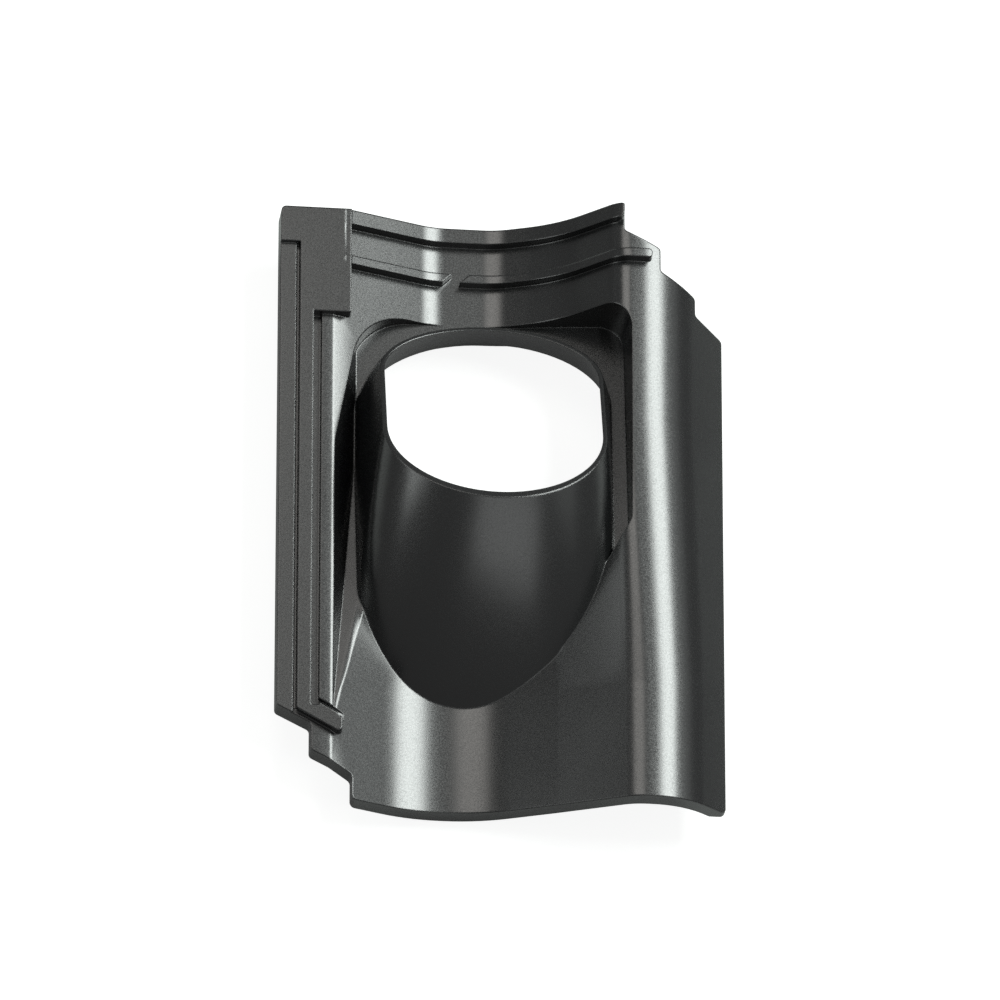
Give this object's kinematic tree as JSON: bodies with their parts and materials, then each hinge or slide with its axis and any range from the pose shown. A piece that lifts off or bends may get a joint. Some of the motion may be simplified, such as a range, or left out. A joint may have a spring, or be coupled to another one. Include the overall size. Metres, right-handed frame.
{
  "type": "roof tile vent",
  "caption": "One-piece moulded roof tile with an S profile, a side lock, weather ribs and a sloping oval collar round a flue opening.",
  "frame": {"origin": "centre of the bounding box's footprint, at the level of the hanging nibs' lower ends", "axes": "+Y from the tail edge up the roof slope to the head, +X across to the roll, +Z out of the roof"},
  "size_m": [0.2614, 0.3688, 0.093],
  "materials": {
    "moulded_plastic": "moulded black plastic with a fine grain and a satin gloss"
  },
  "bodies": {
    "root": {"vent_tile": "moulded_plastic"}
  },
  "joints": []
}
